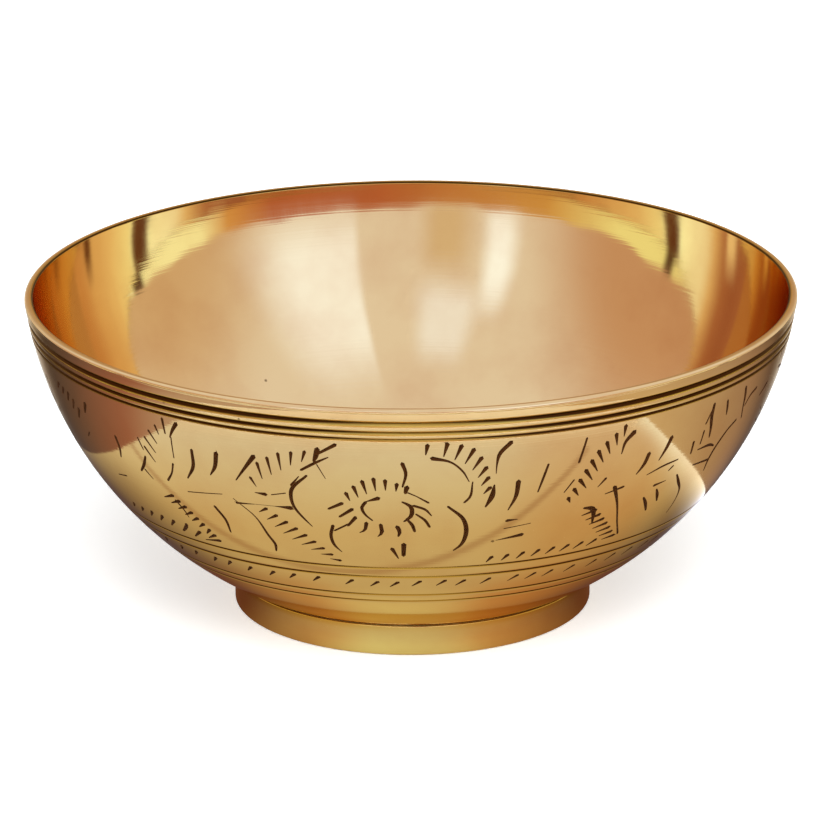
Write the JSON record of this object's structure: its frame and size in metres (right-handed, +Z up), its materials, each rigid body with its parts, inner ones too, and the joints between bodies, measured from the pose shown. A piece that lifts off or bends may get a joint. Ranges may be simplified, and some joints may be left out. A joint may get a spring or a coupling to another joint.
{
  "type": "offering bowl",
  "caption": "Round brass offering bowl: thin turned shell with reeded lip, engraved flower-and-leaf wall and a low soldered foot ring.",
  "frame": {"origin": "on the turning axis, at the foot's resting plane, so the bowl stands on z = 0", "axes": "+Z up along the turning axis, out of the mouth; -Y is the side that faces the camera in the picture"},
  "size_m": [0.125, 0.1248, 0.0525],
  "materials": {
    "polished_brass": "mirror-polished turned brass with blackened engraving",
    "hard_solder": "dull darkened brazing spelter"
  },
  "bodies": {
    "root": {"bowl_shell": "polished_brass", "foot_ring": "polished_brass", "solder_seam": "hard_solder"}
  },
  "joints": []
}
